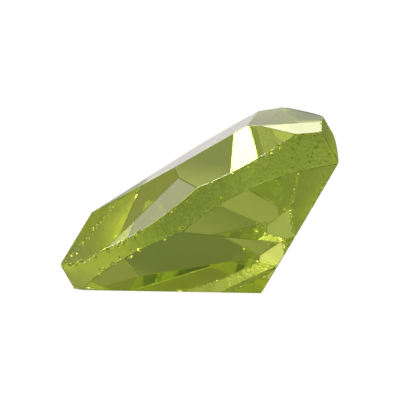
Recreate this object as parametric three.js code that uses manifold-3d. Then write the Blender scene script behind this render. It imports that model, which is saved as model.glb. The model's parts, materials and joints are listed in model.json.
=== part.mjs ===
import * as THREE from 'three';
import { mergeVertices } from 'three/addons/utils/BufferGeometryUtils.js';
import Module from 'manifold-3d';

// A trillion-cut peridot, in millimetres. It is cut with its table level at z = 0 and its depth below,
// the z axis being the axis that the facets are set out from, and is then laid on one pavilion facet.

// Girdle: three bowed sides between three corners, seen from above the table.
const girdle = {
  leftCorner: [-4.04, -0.32],
  frontCorner: [2.65, -2.78],
  backCorner: [1.51, 4.14],
  frontBow: 0.65,
  rightBow: 0.72,
  backBow: 0.7,
  stepsPerSide: 26,
};
const roughDepth = 5;

// Each facet: the way it faces (degrees round the axis from +X), its slope from level (degrees), and how
// far its plane lies from the point where the axis meets the table.
const crown = {
  frontLeftMain: { faces: -122, slope: 42.5, reach: 1.1 },
  frontRightMain: { faces: -98.5, slope: 39.4, reach: 1.023 },
  frontBreak: { faces: -118.6, slope: 49.1, reach: 1.287 },
  frontCornerFacet: { faces: -35.5, slope: 30.3, reach: 1.105 },
  rightStar: { faces: -7.8, slope: 26.2, reach: 0.668 },
  rightMain: { faces: -0.4, slope: 37.9, reach: 1.199 },
  backCornerFacet: { faces: 58.1, slope: 17.7, reach: 0.666 },
  backCornerBreak: { faces: 73.8, slope: 62.8, reach: 3.159 },
  backStar: { faces: 88.5, slope: 26.3, reach: 0.849 },
  backMain: { faces: 126.3, slope: 45.2, reach: 1.05 },
};
const pavilion = {
  frontMain: { faces: -119.7, slope: 47.8, reach: 2.651 },
  frontStrip: { faces: -104.5, slope: 58.7, reach: 2.644 },
  leftCornerMain: { faces: 175.8, slope: 31.8, reach: 3.2 },
  frontCornerMain: { faces: -5.2, slope: 30.1, reach: 2.924 },
  rightMain: { faces: 8, slope: 46, reach: 2.779 },
  backMain: { faces: 99.8, slope: 42.6, reach: 3.672 },
};
const restingFacet = pavilion.leftCornerMain;
const bluntedLeftCorner = { faces: 217, reach: 3.322 };

// Nicks along the lower edge of the girdle's front side: how far along the side from the left corner
// (0 to 1), and how big.
const nicks = [
  { along: 0.13, radius: 0.05 },
  { along: 0.2, radius: 0.04 },
  { along: 0.3, radius: 0.05 },
  { along: 0.385, radius: 0.09 },
  { along: 0.41, radius: 0.05 },
];

const wasm = await Module();
wasm.setup();

const radians = THREE.MathUtils.degToRad;

function toSolid(geometry) {
  geometry.deleteAttribute('normal');
  geometry.deleteAttribute('uv');
  const merged = mergeVertices(geometry, 1e-4);
  return new wasm.Manifold(new wasm.Mesh({
    numProp: 3,
    vertProperties: Float32Array.from(merged.attributes.position.array),
    triVerts: Uint32Array.from(merged.index.array),
  }));
}

function toGeometry(solid) {
  const mesh = solid.getMesh();
  const geometry = new THREE.BufferGeometry();
  geometry.setAttribute('position', new THREE.BufferAttribute(mesh.vertProperties, 3));
  geometry.setIndex(new THREE.BufferAttribute(mesh.triVerts, 1));
  geometry.computeVertexNormals();
  return geometry;
}

// The circle through two corners that bows out by the given amount, passed anticlockwise.
function bowedSide(from, to, bow) {
  const start = new THREE.Vector2(...from);
  const chord = new THREE.Vector2(...to).sub(start);
  const length = chord.length();
  const radius = (length * length / 4 + bow * bow) / (2 * bow);
  const outward = new THREE.Vector2(chord.y, -chord.x).normalize();
  const centre = start.clone().addScaledVector(chord, 0.5).addScaledVector(outward, bow - radius);
  const half = Math.asin(length / 2 / radius);
  const middle = outward.angle();
  return { centre, radius, from: middle - half, to: middle + half };
}

const sides = {
  front: bowedSide(girdle.leftCorner, girdle.frontCorner, girdle.frontBow),
  right: bowedSide(girdle.frontCorner, girdle.backCorner, girdle.rightBow),
  back: bowedSide(girdle.backCorner, girdle.leftCorner, girdle.backBow),
};

function pointOnSide(side, along) {
  const angle = THREE.MathUtils.lerp(side.from, side.to, along);
  return new THREE.Vector2(Math.cos(angle), Math.sin(angle)).multiplyScalar(side.radius).add(side.centre);
}

// The rough: the girdle's outline drawn down from the table.
function rough() {
  const outline = new THREE.Shape();
  for (const side of Object.values(sides)) {
    outline.absarc(side.centre.x, side.centre.y, side.radius, side.from, side.to, false);
  }
  const geometry = new THREE.ExtrudeGeometry(outline, {
    depth: roughDepth,
    bevelEnabled: false,
    curveSegments: girdle.stepsPerSide,
  });
  return geometry.translate(0, 0, -roughDepth);
}

// A facet's outward direction. Crown facets face up from the girdle and pavilion facets face down.
function facetNormal(facet, upDown) {
  const turn = radians(facet.faces);
  const slope = radians(facet.slope ?? 90);
  return new THREE.Vector3(
    Math.cos(turn) * Math.sin(slope),
    Math.sin(turn) * Math.sin(slope),
    Math.cos(slope) * upDown,
  );
}

// The waste outside a facet's plane, as a block with one face on the plane.
function waste(normal, reach) {
  const blockSize = 24;
  const block = new THREE.BoxGeometry(blockSize, blockSize, blockSize);
  block.applyQuaternion(new THREE.Quaternion().setFromUnitVectors(new THREE.Vector3(0, 0, 1), normal));
  const middle = normal.clone().multiplyScalar(reach + blockSize / 2);
  return toSolid(block.translate(middle.x, middle.y, middle.z));
}

// The height where a vertical line at the girdle meets the lowest-cutting pavilion facet.
function lowerEdgeHeight(point) {
  const heights = Object.values(pavilion).map((facet) => {
    const normal = facetNormal(facet, -1);
    return (facet.reach - normal.x * point.x - normal.y * point.y) / normal.z;
  });
  return Math.max(...heights);
}

function nickWaste({ along, radius }) {
  const point = pointOnSide(sides.front, along);
  const lump = new THREE.IcosahedronGeometry(radius, 1).rotateX(along * 9).rotateZ(along * 5);
  return toSolid(lump.translate(point.x, point.y, lowerEdgeHeight(point) - radius * 0.1));
}

function cutStone() {
  let stone = toSolid(rough());
  stone = stone.subtract(waste(facetNormal(bluntedLeftCorner, 0), bluntedLeftCorner.reach));
  for (const facet of Object.values(crown)) {
    stone = stone.subtract(waste(facetNormal(facet, 1), facet.reach));
  }
  for (const facet of Object.values(pavilion)) {
    stone = stone.subtract(waste(facetNormal(facet, -1), facet.reach));
  }
  for (const nick of nicks) {
    stone = stone.subtract(nickWaste(nick));
  }
  return toGeometry(stone);
}

const peridot = new THREE.Mesh(
  cutStone(),
  new THREE.MeshStandardMaterial({ color: 0x97a838, roughness: 0.06, flatShading: true }),
);
peridot.name = 'peridot';

// Laid down: the resting facet turns to face straight down, and the stone's box stands centred over the
// origin.
const down = new THREE.Vector3(0, 0, -1);
peridot.quaternion.setFromUnitVectors(facetNormal(restingFacet, -1), down);
const box = new THREE.Box3().setFromObject(peridot, true);
const boxCentre = box.getCenter(new THREE.Vector3());
peridot.position.set(-boxCentre.x, -boxCentre.y, -box.min.z);

const object = new THREE.Group();
object.add(peridot);

export default object;
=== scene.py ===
import json
import math
import random

import bmesh
import bpy
from mathutils import Matrix, Quaternion, Vector, kdtree, noise


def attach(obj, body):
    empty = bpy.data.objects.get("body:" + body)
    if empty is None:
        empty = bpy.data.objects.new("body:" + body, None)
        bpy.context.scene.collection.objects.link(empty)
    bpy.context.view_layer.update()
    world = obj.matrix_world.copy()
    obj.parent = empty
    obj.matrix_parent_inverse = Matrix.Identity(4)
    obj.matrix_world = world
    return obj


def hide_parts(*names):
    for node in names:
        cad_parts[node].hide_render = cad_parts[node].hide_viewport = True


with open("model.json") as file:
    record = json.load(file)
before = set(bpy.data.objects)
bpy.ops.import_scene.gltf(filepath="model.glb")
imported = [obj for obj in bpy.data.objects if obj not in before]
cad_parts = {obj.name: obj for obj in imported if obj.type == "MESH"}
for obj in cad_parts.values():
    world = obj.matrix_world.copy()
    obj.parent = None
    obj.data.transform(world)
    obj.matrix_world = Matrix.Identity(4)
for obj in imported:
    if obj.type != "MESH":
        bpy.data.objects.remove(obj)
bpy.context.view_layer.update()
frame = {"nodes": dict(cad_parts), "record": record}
print("frame loaded:", sorted(frame["nodes"]))

mm = 0.001


# in degrees: 0 on the compass is straight behind the stone, 90 is to its right, and height is from level
def direction(compass, height):
    compass, height = math.radians(compass), math.radians(height)
    flat = math.cos(height)
    return Vector((math.sin(compass) * flat, math.cos(compass) * flat, math.sin(height)))


# the camera stands as the photo was taken: far off, a little above the surface
cameraPlace = {
    "target": (0.0808, -0.8904, 2.1065),   # mm, what the middle of the picture shows
    "azimuth": 2.30,
    "elevation": 4.91,
    "roll": 1.54,
    "distance": 125.8,                     # mm
    "lens": 495,
    "sensor": 36,
    "clip": (0.001, 20),                   # m
}


def addCamera(settings):
    look = direction(settings["azimuth"], -settings["elevation"])
    data = bpy.data.cameras.new("camera")
    data.lens = settings["lens"]
    data.sensor_width = settings["sensor"]
    data.clip_start, data.clip_end = settings["clip"]
    camera = bpy.data.objects.new("camera", data)
    camera.rotation_mode = "QUATERNION"
    roll = Quaternion((0, 0, 1), math.radians(settings["roll"]))
    camera.rotation_quaternion = look.to_track_quat("-Z", "Y") @ roll
    camera.location = (Vector(settings["target"]) - look * settings["distance"]) * mm
    bpy.context.scene.collection.objects.link(camera)
    bpy.context.scene.camera = camera


addCamera(cameraPlace)
print("camera placed")


# a socket takes either a plain value or another node's output
def feed(tree, socket, value):
    if isinstance(value, bpy.types.NodeSocket):
        tree.links.new(value, socket)
    else:
        socket.default_value = value


def newNode(tree, kind, inputs=None, **settings):
    node = tree.nodes.new(kind)
    for name, setting in settings.items():
        setattr(node, name, setting)
    for name, value in (inputs or {}).items():
        feed(tree, node.inputs[name], value)
    return node


def mathNode(tree, operation, first, second):
    return newNode(tree, "ShaderNodeMath", {0: first, 1: second}, operation=operation).outputs[0]


def ramp(tree, source, low, high, outLow=0.0, outHigh=1.0):
    inputs = {"Value": source, "From Min": low, "From Max": high, "To Min": outLow, "To Max": outHigh}
    return newNode(tree, "ShaderNodeMapRange", inputs, interpolation_type="SMOOTHSTEP").outputs["Result"]


def blendColour(tree, factor, first, second, mode="MIX"):
    inputs = {0: factor, 6: first, 7: second}
    return newNode(tree, "ShaderNodeMix", inputs, data_type="RGBA", blend_type=mode).outputs[2]


def blendValue(tree, factor, first, second):
    return newNode(tree, "ShaderNodeMix", {0: factor, 2: first, 3: second}, data_type="FLOAT").outputs[0]


def asObject(bm, name):
    mesh = bpy.data.meshes.new(name)
    bm.to_mesh(mesh)
    bm.free()
    piece = bpy.data.objects.new(name, mesh)
    bpy.context.scene.collection.objects.link(piece)
    return piece


# a dim room with broad soft lights
room = {
    "base": (0.3, 0.31, 0.19),
    # from: compass angle and height in degrees
    # fade: degrees from the middle, where a light is full and where it ends
    "lights": [
        {"from": (4, 38), "fade": (5, 20), "colour": (2.15, 2.11, 1.3)},
        {"from": (-56, 54), "fade": (5, 20), "colour": (0.91, 0.95, 0.5)},
        {"from": (-100, 35), "fade": (3, 9), "colour": (9.0, 9.0, 9.0)},
        {"from": (-98, 12), "fade": (8, 32), "colour": (0.5, 0.48, 0.5)},
        {"from": (-8, 30), "fade": (8, 32), "colour": (0.31, 0.29, 0.4)},
        {"from": (231, 65), "fade": (8, 32), "colour": (0.28, 0.31, 0.3)},
        {"from": (-5, 3), "fade": (3, 10), "colour": (0.27, 0.25, 0.2)},
        {"from": (-1, 1), "fade": (3, 7), "colour": (0.25, 0.22, 0.4)},
        {"from": (2, 15), "fade": (3, 7), "colour": (0.4, 0.38, 0.34)},
        {"from": (-83, 26), "fade": (2, 8), "colour": (1.4, 1.2, 1.75)},
        {"from": (0, 34), "fade": (2, 7), "colour": (1.2, 1.2, 0.9)},
        {"from": (180, 20), "fade": (4, 14), "colour": (2.2, 2.2, 1.7)},
        # lamps that only the worn edges and chips catch
        {"from": (-109, 44), "fade": (3, 7), "colour": (13.0, 13.0, 12.0)},
        {"from": (-93, 21), "fade": (2, 6), "colour": (9.0, 9.0, 8.5)},
        {"from": (224, 36), "fade": (2, 7), "colour": (7.0, 7.0, 6.5)},
        {"from": (260, 12), "fade": (2, 6), "colour": (9.0, 9.0, 8.5)},
        {"from": (128, 35), "fade": (2, 6), "colour": (9.0, 9.0, 8.0)},
        {"from": (345, 58), "fade": (2, 6), "colour": (12.0, 12.0, 11.0)},
    ],
}


def lightRoom(settings):
    world = bpy.data.worlds.new("room")
    world.use_nodes = True
    tree = world.node_tree
    tree.nodes.clear()
    looking = newNode(tree, "ShaderNodeTexCoord").outputs["Generated"]
    total = (*settings["base"], 1)
    for light in settings["lights"]:
        inputs = {0: looking, 1: direction(*light["from"])}
        near = newNode(tree, "ShaderNodeVectorMath", inputs, operation="DOT_PRODUCT").outputs["Value"]
        full, end = (math.cos(math.radians(angle)) for angle in light["fade"])
        glow = ramp(tree, near, end, full)
        total = blendColour(tree, glow, total, (*light["colour"], 1), "ADD")
    background = newNode(tree, "ShaderNodeBackground", {"Color": total})
    newNode(tree, "ShaderNodeOutputWorld", {"Surface": background.outputs["Background"]})
    bpy.context.scene.world = world


# white paper: the camera sees it burnt out, the stone sees it dimly lit by painted light, a glow that
# fades to the right with painted shade round the stone
floorLook = {
    "radius": 1.4,               # m
    "sides": 128,
    "below": 0.02,               # mm under the stone
    "paper": (0.21, 0.24, 0.18, 1),
    "roughness": 0.9,
    "gloss": 0.1,
    # painted light: the paper's glow, which the stone sees in place of light falling on the paper
    "glow": 0.26,
    "paintedLightFades": (0.003, 0.012),     # m to the right of the stone, where the painted light in the glow falls off
    "paintedShade": (0.0015, 0.0045),   # m round the stone, where painted shade dims the glow
    "leftInPaintedShade": 0.45,         # of the glow is left in the painted shade beside the stone
    "seen": 1.05,                # what the camera sees
}


def paperMaterial(settings):
    material = bpy.data.materials.new("whitePaper")
    material.use_nodes = True
    tree = material.node_tree
    paper = tree.nodes["Principled BSDF"]
    paper.inputs["Base Color"].default_value = settings["paper"]
    paper.inputs["Roughness"].default_value = settings["roughness"]
    paper.inputs["Specular IOR Level"].default_value = settings["gloss"]
    paper.inputs["Emission Color"].default_value = (1, 1, 1, 1)
    place = newNode(tree, "ShaderNodeTexCoord").outputs["Object"]
    toRight = newNode(tree, "ShaderNodeSeparateXYZ", {0: place}).outputs["X"]
    away = newNode(tree, "ShaderNodeVectorMath", {0: place}, operation="LENGTH").outputs["Value"]
    # the emission is painted light: a glow that fades to the right, dimmed by painted shade round the
    # stone
    glow = ramp(tree, toRight, *settings["paintedLightFades"], settings["glow"], 0.0)
    paintedShade = ramp(tree, away, *settings["paintedShade"], settings["leftInPaintedShade"], 1.0)
    feed(tree, paper.inputs["Emission Strength"], mathNode(tree, "MULTIPLY", glow, paintedShade))
    burntOut = newNode(tree, "ShaderNodeEmission", {"Strength": settings["seen"]})
    toCamera = newNode(tree, "ShaderNodeLightPath").outputs["Is Camera Ray"]
    inputs = {0: toCamera, 1: paper.outputs["BSDF"], 2: burntOut.outputs["Emission"]}
    mix = newNode(tree, "ShaderNodeMixShader", inputs)
    feed(tree, tree.nodes["Material Output"].inputs["Surface"], mix.outputs["Shader"])
    return material


def addFloor(settings):
    bm = bmesh.new()
    bmesh.ops.create_circle(bm, cap_ends=True, segments=settings["sides"], radius=settings["radius"])
    bmesh.ops.translate(bm, verts=bm.verts, vec=(0, 0, -settings["below"] * mm))
    floor = asObject(bm, "floor")
    floor.data.materials.append(paperMaterial(settings))


bounces = 32   # light turns many times inside the stone


def setUpCycles():
    scene = bpy.context.scene
    scene.view_settings.view_transform = "Standard"
    scene.view_settings.look = "None"
    scene.cycles.max_bounces = bounces
    scene.cycles.glossy_bounces = bounces
    scene.cycles.transmission_bounces = bounces


lightRoom(room)
addFloor(floorLook)
setUpCycles()
print("room lit, floor laid")


# the stone is worked in millimetres and cut plane by plane
stone = {
    "rough": 20,                # the block it is cut from
    "weldWithin": 1e-4,
    "cutWithin": 1e-5,
    "sameFacet": 0.3,           # degrees, faces this close are one facet
    "flatWithin": 0.002,        # no corner stands further out than this from a facet's plane
    "smallestFace": 0.001,      # square mm
    "largestNickWall": 0.008,   # square mm
    "girdleLean": 0.03,         # how far a girdle face may lean, as a sine
    "mergeWithin": 0.012,       # corners this close to each other are one
    "wornEdge": 0.016,
    "sharpFrom": 5,             # degrees, the edges that wear
    "girdleSharpFrom": 20,      # the same between two stretches of girdle
}
tableUp = Vector(next(mount["axis"] for mount in frame["record"]["mounts"] if mount["name"] == "table"))


def everything(bm):
    return bm.verts[:] + bm.edges[:] + bm.faces[:]


def isGirdle(face):
    return abs(face.normal.dot(tableUp)) < stone["girdleLean"]


def isCrown(face):
    return face.normal.dot(tableUp) >= stone["girdleLean"]


def readPlanes(mesh, settings):
    bm = bmesh.new()
    bm.from_mesh(mesh)
    bmesh.ops.scale(bm, verts=bm.verts, vec=(1 / mm,) * 3)
    bmesh.ops.remove_doubles(bm, verts=bm.verts, dist=settings["weldWithin"])
    corners = [vert.co.copy() for vert in bm.verts]
    almostOne = math.cos(math.radians(settings["sameFacet"]))
    planes = []
    nickWalls = []
    for face in sorted(bm.faces, key=lambda face: face.calc_area(), reverse=True):
        normal = face.normal.copy()
        centre = face.calc_center_median()
        reach = normal.dot(centre)
        if any(normal.dot(other) > almostOne for other, _ in planes):
            continue
        # only the walls of the nicks have stone on both sides of their planes
        if max(normal.dot(corner) for corner in corners) > reach + settings["flatWithin"]:
            if face.calc_area() < settings["largestNickWall"]:
                nickWalls.append(centre)
        elif face.calc_area() > settings["smallestFace"]:
            planes.append((normal, reach))
    bm.free()
    return planes, nickWalls


def cutFromRough(planes, settings):
    bm = bmesh.new()
    bmesh.ops.create_cube(bm, size=settings["rough"])
    for normal, reach in planes:
        cut = bmesh.ops.bisect_plane(bm, geom=everything(bm), dist=settings["cutWithin"],
                                     plane_co=normal * reach, plane_no=normal, clear_outer=True)
        rim = [part for part in cut["geom_cut"] if isinstance(part, bmesh.types.BMEdge)]
        if rim:
            bmesh.ops.edgeloop_fill(bm, edges=rim)
    bmesh.ops.remove_doubles(bm, verts=bm.verts, dist=settings["mergeWithin"])
    bmesh.ops.recalc_face_normals(bm, faces=bm.faces)
    return bm


# bevels the sharp edges, and marks the strips they leave as worn
def wearEdges(bm, settings):
    worn = bm.faces.layers.float.new("worn")
    edges = []
    for edge in bm.edges:
        onGirdle = all(isGirdle(face) for face in edge.link_faces)
        sharp = settings["girdleSharpFrom"] if onGirdle else settings["sharpFrom"]
        if edge.calc_face_angle(0) > math.radians(sharp):
            edges.append(edge)
    made = bmesh.ops.bevel(bm, geom=edges, offset=settings["wornEdge"], offset_type="OFFSET",
                           affect="EDGES", segments=2, profile=0.5, material=-1, clamp_overlap=False)
    for face in made["faces"]:
        face[worn] = 1.0


# chips along both edges of the girdle, and its few larger nicks, in mm
chips = {
    "number": 700,                    # tried, and about a third are kept
    "size": (0.016, 0.075),
    "stretch": ((0.7, 1.6), (0.7, 1.3)),
    "spread": 0.12,                   # from the edge into the girdle
    "patch": 0.55,                    # chips keep to patches of this size
    "patchiness": 0.7,
    "upperShare": 0.75,               # on the upper edge, and the rest on the lower
    "leftShare": 0.5,                 # added round the left corner
    "leftCorner": (-2.6, -1.5, 1.2),
    "leftReach": 1.5,
    "luck": (0.2, 1.2),               # a chip is kept where its share beats a draw from this range
    "nickReach": 0.13,                # how near two walls are to be in one nick
    "nickWalls": 3,
    "nickSize": 0.05,
    "seed": 3,
}


# the walls that lie near each other are one nick
def nickCentres(walls, settings):
    reach = settings["nickReach"]
    nicks = []
    for wall in walls:
        near = [nick for nick in nicks if any((wall - other).length < reach for other in nick)]
        joined = [wall] + [other for nick in near for other in nick]
        nicks = [nick for nick in nicks if nick not in near] + [joined]
    whole = [nick for nick in nicks if len(nick) >= settings["nickWalls"]]
    return [sum(nick, Vector()) / len(nick) for nick in whole]


def addLump(bm, place, size, stretch, chance):
    made = bmesh.ops.create_icosphere(bm, subdivisions=1, radius=size)
    turn = Quaternion((chance.random(), chance.random(), chance.random()), chance.uniform(0, 6))
    longer = Matrix.Diagonal((chance.uniform(*stretch[0]), chance.uniform(*stretch[1]), 1, 1))
    placed = Matrix.Translation(place) @ turn.to_matrix().to_4x4() @ longer
    bmesh.ops.transform(bm, verts=made["verts"], matrix=placed)


def chipLumps(edges, nicks, settings):
    chance = random.Random(settings["seed"])
    lumps = bmesh.new()
    smallest, largest = settings["size"]
    leftCorner = Vector(settings["leftCorner"])
    lengths = [edge.calc_length() for edge in edges]
    for edge in chance.choices(edges, weights=lengths, k=settings["number"]):
        place = edge.verts[0].co.lerp(edge.verts[1].co, chance.random())
        upper = any(isCrown(face) for face in edge.link_faces)
        share = settings["upperShare"] if upper else 1 - settings["upperShare"]
        share += settings["leftShare"] * max(0, 1 - (place - leftCorner).length / settings["leftReach"])
        share += noise.noise(place / settings["patch"]) * settings["patchiness"]
        if share < chance.uniform(*settings["luck"]):
            continue
        place -= tableUp * (1 if upper else -1) * chance.triangular(0, settings["spread"], 0)
        addLump(lumps, place, chance.triangular(smallest, largest, smallest), settings["stretch"], chance)
    for nick in nicks:
        addLump(lumps, nick, settings["nickSize"], settings["stretch"], chance)
    return lumps


def breakOut(piece, lumps):
    cut = piece.modifiers.new("chips", "BOOLEAN")
    cut.operation = "DIFFERENCE"
    cut.solver = "EXACT"
    cut.object = lumps
    cut.use_self = True      # the lumps overlap
    shown = piece.evaluated_get(bpy.context.evaluated_depsgraph_get())
    chipped = bpy.data.meshes.new_from_object(shown)
    piece.modifiers.clear()
    piece.data = chipped
    bpy.data.objects.remove(lumps)


# the girdle is ground matte, with a fine relief and pits, in mm
matteGirdle = {
    "smallestFace": 0.01,            # square mm, what is smaller stays smooth
    "cell": 0.04,
    "cutWithin": 1e-4,
    "round": 22,                     # once round the girdle
    "relief": 0.007,
    "reliefSize": 0.09,
    "reliefLayers": (0.8, 2.0, 3),   # how soft, how much finer each is, and how many
    "pits": 240,
    "pitSize": (0.02, 0.05),
    "pitDepth": 0.35,                # of its size
    "seed": 7,
}


def matteFaces(bm, matte):
    return [face for face in bm.faces if face[matte] > 0.5]


def markMatte(bm, settings):
    worn = bm.faces.layers.float.get("worn")
    matte = bm.faces.layers.float.new("matte")
    for face in bm.faces:
        if isGirdle(face) and face[worn] < 0.5 and face.calc_area() > settings["smallestFace"]:
            face[matte] = 1.0
    return matte


def gridGirdle(bm, matte, settings):
    across = tableUp.orthogonal().normalized()
    along = tableUp.cross(across)
    girdle = matteFaces(bm, matte)
    cell = settings["cell"]
    middle = sum((face.calc_center_median() for face in girdle), Vector()) / len(girdle)
    heights = [tableUp.dot(vert.co) for face in girdle for vert in face.verts]
    cuts = []
    turns = int(settings["round"] / cell / 2)
    for turn in range(turns):
        angle = math.pi * (turn + 0.5) / turns
        cuts.append((middle, across * math.cos(angle) + along * math.sin(angle)))
    rows = int((max(heights) - min(heights)) / cell)
    for row in range(rows):
        cuts.append((tableUp * (min(heights) + cell * (row + 0.5)), tableUp))
    for point, normal in cuts:
        faces = matteFaces(bm, matte)
        edges = {edge for face in faces for edge in face.edges}
        verts = {vert for face in faces for vert in face.verts}
        bmesh.ops.bisect_plane(bm, geom=list(verts) + list(edges) + faces, dist=settings["cutWithin"],
                               plane_co=point, plane_no=normal)


def roughenGirdle(bm, matte, settings):
    chance = random.Random(settings["seed"])
    skin = []
    for vert in bm.verts:
        if vert.link_faces and all(face[matte] > 0.5 for face in vert.link_faces):
            skin.append(vert)
    tree = kdtree.KDTree(len(skin))
    for number, vert in enumerate(skin):
        tree.insert(vert.co, number)
    tree.balance()
    sink = []
    for vert in skin:
        height = noise.fractal(vert.co / settings["reliefSize"], *settings["reliefLayers"])
        sink.append(settings["relief"] * (0.5 + 0.5 * height))
    smallest, largest = settings["pitSize"]
    for _ in range(settings["pits"]):
        size = chance.triangular(smallest, largest, smallest)
        for _, number, distance in tree.find_range(chance.choice(skin).co, size):
            fall = 1 - (distance / size) ** 2
            sink[number] = max(sink[number], fall * size * settings["pitDepth"])
    for vert, depth in zip(skin, sink):
        inward = (vert.normal - tableUp * vert.normal.dot(tableUp)).normalized()
        vert.co -= inward * max(depth, 0)


def grindGirdle(mesh, settings):
    bm = bmesh.new()
    bm.from_mesh(mesh)
    bm.normal_update()
    matte = markMatte(bm, settings)
    gridGirdle(bm, matte, settings)
    roughenGirdle(bm, matte, settings)
    for face in bm.faces:
        face.smooth = face[matte] > 0.5
    for edge in bm.edges:
        edge.smooth = all(face.smooth for face in edge.link_faces)
    print("girdle ground:", len(bm.faces), "faces")
    bmesh.ops.scale(bm, verts=bm.verts, vec=(mm,) * 3)
    bm.to_mesh(mesh)
    bm.free()


def makeStone():
    planes, nickWalls = readPlanes(frame["nodes"]["peridot"].data, stone)
    nicks = nickCentres(nickWalls, chips)
    bm = cutFromRough(planes, stone)
    print("cut", len(planes), "planes and", len(nicks), "nicks:", len(bm.faces), "facets")
    girdleEdges = [edge for edge in bm.edges if sum(isGirdle(face) for face in edge.link_faces) == 1]
    lumps = asObject(chipLumps(girdleEdges, nicks, chips), "lumps")
    wearEdges(bm, stone)
    piece = asObject(bm, "cutStone")
    breakOut(piece, lumps)
    print("edges worn and chipped:", len(piece.data.polygons), "faces")
    grindGirdle(piece.data, matteGirdle)
    return piece


# clear crystal, with a matte girdle and dull worn edges, whose darker colour is painted shade
crystal = {
    "ior": 1.67,
    "tint": (0.85, 0.9, 0.0, 1),
    "depth": 300,               # absorption, per metre
    "facetColour": ((0.96, 0.98, 0.93, 1), (1, 1, 1, 1)),
    "facetRoughness": (0.004, 0.022),
    "hazeLevels": (0.35, 0.7),  # of the noise, where an effect starts and where it is full
    "scratches": 0.03,          # mm
    "scratchLevels": (0.35, 0.75),
    "scratchStretch": (1, 0.06, 0.4),
    "scratchHeight": 0.00006,
    "girdleColour": ((0.48, 0.6, 0.19, 1), (0.88, 0.94, 0.6, 1)),
    "girdleRoughness": (0.34, 0.5),
    "grain": 0.05,              # mm
    "grainLevels": (0.38, 0.62),
    "grainHeight": 0.006,
    "mottle": 0.35,             # mm
    "mottleLevels": (0.3, 0.7),
    # the girdle is paler and duller towards its left corner and on the blunt right one, here in mm from
    # the middle of the stone; the paler colour towards the left corner is painted light
    "paintedLightLeft": (-0.6, -2.0),
    "paleRight": (2.75, 3.0),
    "paleAndPaintedLightColour": (0.94, 1.0, 0.38, 1),
    "paleRoughness": 0.7,
    # painted shade: dark specks that stand in for the shade in the girdle's pits
    "paintedShadeSpecks": 0.08,             # mm
    "paintedShadeSpeckLevels": (0.6, 0.68),
    "paintedShadeSpecksRight": (0.6, 2.6),  # mm from the middle, they thicken towards the right
    "paintedShadeSpeckColour": (0.16, 0.2, 0.05, 1),
    # painted shade: the worn, bevelled edge strips are coloured dark to draw dark lines along the edges
    "wornEdgePaintedShadeColour": (0.5, 0.57, 0.27, 1),
    "wornRoughness": 0.15,
}


def noiseNode(tree, place, size, detail, stretch=(1, 1, 1)):
    mapping = newNode(tree, "ShaderNodeMapping", {"Vector": place, "Scale": stretch})
    inputs = {"Vector": mapping.outputs["Vector"], "Scale": 1 / (size * mm), "Detail": detail}
    return newNode(tree, "ShaderNodeTexNoise", inputs).outputs["Fac"]


def attributeNode(tree, name):
    return newNode(tree, "ShaderNodeAttribute", attribute_name=name).outputs["Fac"]


def rampFromMiddle(tree, toRight, ends):
    return ramp(tree, toRight, ends[0] * mm, ends[1] * mm)


# where each look of the surface shows, as masks and noise
def crystalMasks(tree, settings):
    place = newNode(tree, "ShaderNodeTexCoord").outputs["Object"]
    toRight = newNode(tree, "ShaderNodeSeparateXYZ", {0: place}).outputs["X"]
    # painted light: the girdle grows paler towards its left corner
    paintedLightLeft = rampFromMiddle(tree, toRight, settings["paintedLightLeft"])
    paleRight = rampFromMiddle(tree, toRight, settings["paleRight"])
    # painted shade: dark specks for shaded pits, thicker towards the right
    paintedShadeSpecksRight = rampFromMiddle(tree, toRight, settings["paintedShadeSpecksRight"])
    paintedShadeSpecks = ramp(tree, noiseNode(tree, place, settings["paintedShadeSpecks"], 2), *settings["paintedShadeSpeckLevels"])
    return {
        "matte": attributeNode(tree, "matte"),
        "worn": attributeNode(tree, "worn"),
        "grain": noiseNode(tree, place, settings["grain"], 3),
        "mottle": noiseNode(tree, place, settings["mottle"], 4),
        "scratches": noiseNode(tree, place, settings["scratches"], 1, settings["scratchStretch"]),
        "paleAndPaintedLight": mathNode(tree, "MAXIMUM", paintedLightLeft, paleRight),
        "paintedShadeSpecked": mathNode(tree, "MULTIPLY", paintedShadeSpecks, paintedShadeSpecksRight),
    }


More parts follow.
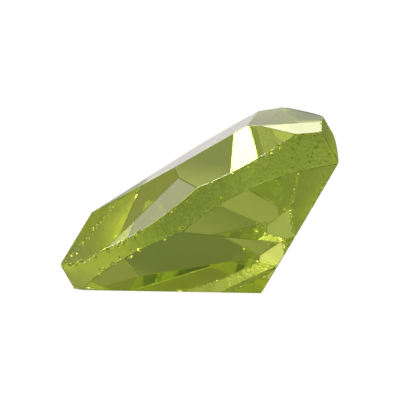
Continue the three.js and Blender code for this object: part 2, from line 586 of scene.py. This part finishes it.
def crystalColour(tree, masks, settings):
    haze = ramp(tree, masks["mottle"], *settings["hazeLevels"])
    grain = ramp(tree, masks["grain"], *settings["grainLevels"])
    facet = blendColour(tree, haze, *settings["facetColour"])
    girdle = blendColour(tree, grain, *settings["girdleColour"])
    # painted light pales the girdle towards its left corner; on the blunt right corner it is only paler
    girdle = blendColour(tree, masks["paleAndPaintedLight"], girdle, settings["paleAndPaintedLightColour"])
    # painted shade: dark specks standing in for the shade in pits
    girdle = blendColour(tree, masks["paintedShadeSpecked"], girdle, settings["paintedShadeSpeckColour"])
    colour = blendColour(tree, masks["matte"], facet, girdle)
    # painted shade along the worn edges, which also really are rougher
    return blendColour(tree, masks["worn"], colour, settings["wornEdgePaintedShadeColour"])


def crystalRoughness(tree, masks, settings):
    facet = ramp(tree, masks["scratches"], *settings["scratchLevels"], *settings["facetRoughness"])
    girdle = ramp(tree, masks["mottle"], *settings["mottleLevels"], *settings["girdleRoughness"])
    girdle = blendValue(tree, masks["paleAndPaintedLight"], girdle, settings["paleRoughness"])
    roughness = blendValue(tree, masks["matte"], facet, girdle)
    return blendValue(tree, masks["worn"], roughness, settings["wornRoughness"])


def crystalBump(tree, masks, settings):
    facet = mathNode(tree, "MULTIPLY", masks["scratches"], settings["scratchHeight"])
    girdle = mathNode(tree, "MULTIPLY", masks["grain"], settings["grainHeight"])
    height = blendValue(tree, masks["matte"], facet, girdle)
    return newNode(tree, "ShaderNodeBump", {"Distance": mm, "Height": height}).outputs["Normal"]


def crystalMaterial(settings):
    material = bpy.data.materials.new("peridotCrystal")
    material.use_nodes = True
    tree = material.node_tree
    shader = tree.nodes["Principled BSDF"]
    shader.inputs["Transmission Weight"].default_value = 1
    shader.inputs["IOR"].default_value = settings["ior"]
    masks = crystalMasks(tree, settings)
    feed(tree, shader.inputs["Base Color"], crystalColour(tree, masks, settings))
    feed(tree, shader.inputs["Roughness"], crystalRoughness(tree, masks, settings))
    feed(tree, shader.inputs["Normal"], crystalBump(tree, masks, settings))
    inputs = {"Color": settings["tint"], "Density": settings["depth"]}
    absorption = newNode(tree, "ShaderNodeVolumeAbsorption", inputs)
    feed(tree, tree.nodes["Material Output"].inputs["Volume"], absorption.outputs["Volume"])
    return material


stonePiece = makeStone()
stonePiece.data.materials.append(crystalMaterial(crystal))
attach(stonePiece, "root")
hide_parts("peridot")
print("stone made")
